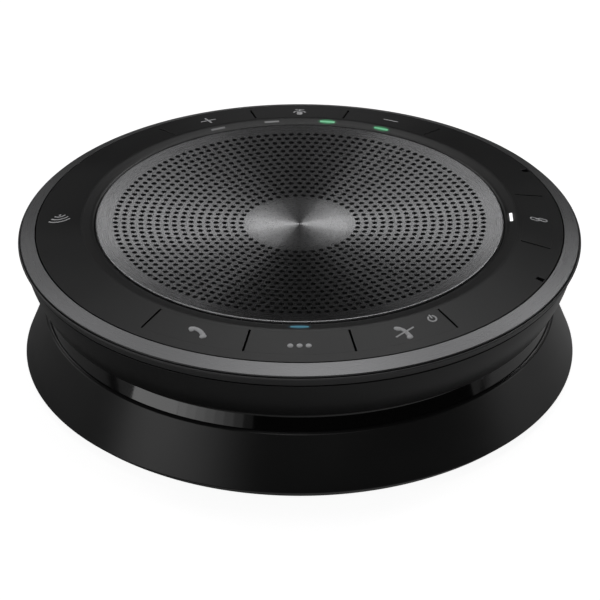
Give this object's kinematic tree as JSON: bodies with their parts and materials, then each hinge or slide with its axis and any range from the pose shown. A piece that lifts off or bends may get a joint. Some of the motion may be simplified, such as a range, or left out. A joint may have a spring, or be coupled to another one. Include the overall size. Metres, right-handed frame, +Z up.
{
  "type": "conference speakerphone",
  "caption": "Round desk speakerphone with a flared base, a cable groove, a bowl housing, a ring of pressing keys, status lights and a dished punched grille.",
  "frame": {"origin": "centre of the foot's underside, on the surface it stands on", "axes": "+Z up through the grille's centre, -Y towards the front, where the call light and the call keys are"},
  "size_m": [0.12, 0.12, 0.033],
  "materials": {
    "foot_rubber": "matte",
    "base_plastic": "satin",
    "steel": "satin",
    "gloss_black": "gloss",
    "inner_plastic": "matte",
    "battery_film": "satin",
    "bowl_plastic": "satin",
    "seal_rubber": "matte",
    "spun_aluminium": "satin",
    "soft_touch": "matte",
    "ring_plastic": "satin",
    "silicone": "matte",
    "chip_package": "matte",
    "grille_aluminium": "satin",
    "acoustic_cloth": "matte",
    "painted_steel": "satin",
    "cone_paper": "matte",
    "copper": "satin",
    "spider_cloth": "matte",
    "magnet_ferrite": "matte",
    "circuit_board": "satin",
    "ribbon_film": "satin",
    "window_green": "satin",
    "window_clear": "satin",
    "window_blue": "satin",
    "window_white": "satin"
  },
  "bodies": {
    "root": {"foot_ring": "foot_rubber", "base_plate": "base_plastic", "base_skirt": "base_plastic", "base_screws": "steel", "waist_band": "gloss_black", "cable_inlet": "foot_rubber", "housing_screws": "steel", "battery_tray": "inner_plastic", "battery_pack": "battery_film", "lower_housing": "bowl_plastic", "seal_ring": "seal_rubber", "rim_lip": "bowl_plastic", "bevel_ring": "spun_aluminium", "control_panel": "soft_touch", "key_pads": "silicone", "dome_switches": "steel", "light_ring": "ring_plastic", "light_chips": "chip_package", "mic_capsules": "steel", "mic_boots": "seal_rubber", "grille": "grille_aluminium", "grille_cloth": "acoustic_cloth", "speaker_baffle": "inner_plastic", "driver_gasket": "seal_rubber", "driver_basket": "painted_steel", "driver_surround": "seal_rubber", "driver_cone": "cone_paper", "dust_cap": "cone_paper", "voice_coil": "copper", "driver_spider": "spider_cloth", "front_plate": "steel", "driver_magnet": "magnet_ferrite", "driver_yoke": "steel", "driver_screws": "steel", "chassis": "inner_plastic", "chassis_screws": "steel", "key_board": "circuit_board", "main_board": "circuit_board", "board_screws": "steel", "shield_can": "steel", "board_parts": "chip_package", "key_ribbon": "ribbon_film", "antenna_coil": "copper", "level_windows_lit": "window_green", "level_windows_unlit": "window_clear", "call_window": "window_blue", "link_window": "window_white"},
    "key_answer": {"key_answer": "soft_touch"},
    "key_menu": {"key_menu": "soft_touch"},
    "key_end": {"key_end": "soft_touch"},
    "key_volume_down": {"key_volume_down": "soft_touch"},
    "key_mute": {"key_mute": "soft_touch"},
    "key_volume_up": {"key_volume_up": "soft_touch"},
    "key_link": {"key_link": "soft_touch"}
  },
  "joints": [
    {"name": "press_answer", "type": "slide", "parent": "root", "child": "key_answer", "axis": [0, 0, -1], "range_m": [0, 0.0003], "stiffness_N_per_m": 800, "springref_m": -0.0004},
    {"name": "press_menu", "type": "slide", "parent": "root", "child": "key_menu", "axis": [0, 0, -1], "range_m": [0, 0.0003], "stiffness_N_per_m": 800, "springref_m": -0.0004},
    {"name": "press_end", "type": "slide", "parent": "root", "child": "key_end", "axis": [0, 0, -1], "range_m": [0, 0.0003], "stiffness_N_per_m": 800, "springref_m": -0.0004},
    {"name": "press_volume_down", "type": "slide", "parent": "root", "child": "key_volume_down", "axis": [0, 0, -1], "range_m": [0, 0.0003], "stiffness_N_per_m": 800, "springref_m": -0.0004},
    {"name": "press_mute", "type": "slide", "parent": "root", "child": "key_mute", "axis": [0, 0, -1], "range_m": [0, 0.0003], "stiffness_N_per_m": 800, "springref_m": -0.0004},
    {"name": "press_volume_up", "type": "slide", "parent": "root", "child": "key_volume_up", "axis": [0, 0, -1], "range_m": [0, 0.0003], "stiffness_N_per_m": 800, "springref_m": -0.0004},
    {"name": "press_link", "type": "slide", "parent": "root", "child": "key_link", "axis": [0, 0, -1], "range_m": [0, 0.0003], "stiffness_N_per_m": 800, "springref_m": -0.0004}
  ]
}
